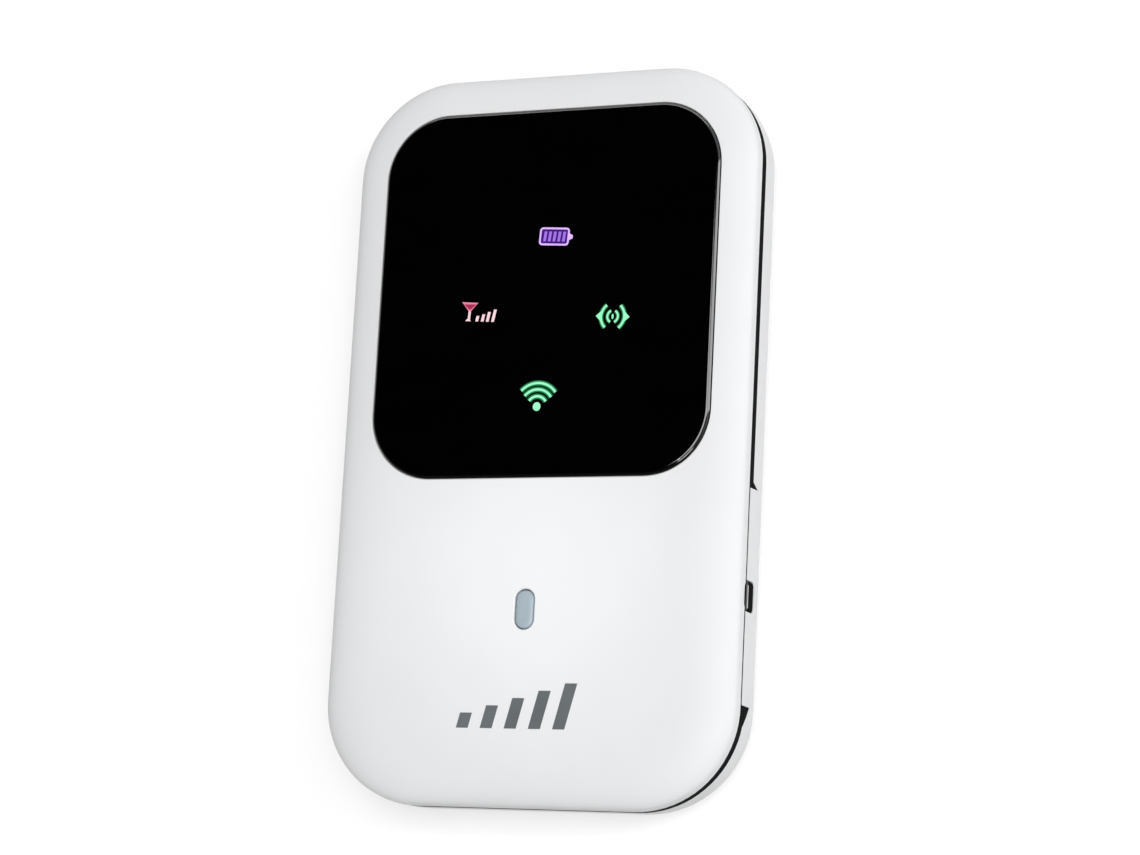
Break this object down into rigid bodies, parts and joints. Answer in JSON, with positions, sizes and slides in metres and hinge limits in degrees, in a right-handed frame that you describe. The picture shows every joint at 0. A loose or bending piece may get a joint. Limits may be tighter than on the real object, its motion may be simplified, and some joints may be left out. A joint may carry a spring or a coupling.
{
  "type": "mobile hotspot",
  "caption": "Pocket mobile hotspot with white round-cornered shells, a black status window with four lit symbols, a capsule power key and a pull-off rear cover.",
  "frame": {"origin": "middle of the back face, where the device lies on a table", "axes": "+X to the right of the front face, +Y to the end with the window and the charging port, +Z out of the front face"},
  "size_m": [0.058, 0.0996, 0.014],
  "materials": {
    "shell_white": "satin white moulded plastic",
    "lens_black": "polished black window",
    "tape_black": "matte foam tape",
    "shroud_black": "matte black",
    "led_cream": "clear cream resin",
    "key_grey": "satin blue-grey",
    "switch_metal": "stamped steel",
    "plunger_dark": "matte dark",
    "board_green": "green solder mask",
    "shield_steel": "tinned sheet steel",
    "chip_black": "moulded epoxy",
    "pad_grey": "soft silicone",
    "port_steel": "drawn steel",
    "tongue_black": "matte black",
    "holder_black": "matte black",
    "contact_gold": "gold plated",
    "frame_black": "matte black moulded plastic",
    "battery_grey": "grey wrapped pack",
    "antenna_amber": "amber flexible circuit",
    "screw_steel": "blackened steel"
  },
  "bodies": {
    "chassis": {"front_shell": "shell_white", "display_lens": "lens_black", "lens_tape": "tape_black", "light_shroud": "shroud_black", "battery_led": "led_cream", "signal_led": "led_cream", "data_led": "led_cream", "wireless_led": "led_cream", "power_switch": "switch_metal", "reset_switch": "switch_metal", "main_board": "board_green", "processor_shield": "shield_steel", "modem_shield": "shield_steel", "radio_shield": "shield_steel", "processor_chip": "chip_black", "modem_chip": "chip_black", "radio_chip": "chip_black", "thermal_pad": "pad_grey", "usb_shell": "port_steel", "usb_tongue": "tongue_black", "sim_holder_cover": "shield_steel", "sim_holder_base": "holder_black", "memory_card_holder_cover": "shield_steel", "memory_card_holder_base": "holder_black", "battery_pack": "battery_grey", "contact_block": "holder_black", "battery_contact_positive": "contact_gold", "battery_contact_sense": "contact_gold", "battery_contact_negative": "contact_gold", "chassis_frame": "frame_black", "main_antenna": "antenna_amber", "diversity_antenna": "antenna_amber", "wireless_antenna": "antenna_amber", "screw_top_left": "screw_steel", "screw_top_right": "screw_steel", "screw_bottom_left": "screw_steel", "screw_bottom_right": "screw_steel"},
    "power_button": {"power_key": "key_grey"},
    "power_contact": {"power_plunger": "plunger_dark"},
    "reset_button": {"reset_plunger": "plunger_dark"},
    "rear_lid": {"rear_cover": "shell_white"}
  },
  "joints": [
    {"name": "power_key_press", "type": "slide", "parent": "chassis", "child": "power_button", "axis": [0, 0, -1], "range_m": [0, 0.0003], "stiffness_N_per_m": 3000},
    {"name": "power_plunger_press", "type": "slide", "parent": "chassis", "child": "power_contact", "axis": [0, 0, -1], "range_m": [0, 0.0003]},
    {"name": "reset_press", "type": "slide", "parent": "chassis", "child": "reset_button", "axis": [0, 0, 1], "range_m": [0, 0.0002], "stiffness_N_per_m": 3000},
    {"name": "rear_cover_release", "type": "slide", "parent": "rear_lid", "child": "chassis", "axis": [0, 0, 1], "range_m": [0, 0.025]}
  ],
  "couplings": [
    {"joint": "power_plunger_press", "follows": "power_key_press", "ratio": 1}
  ]
}
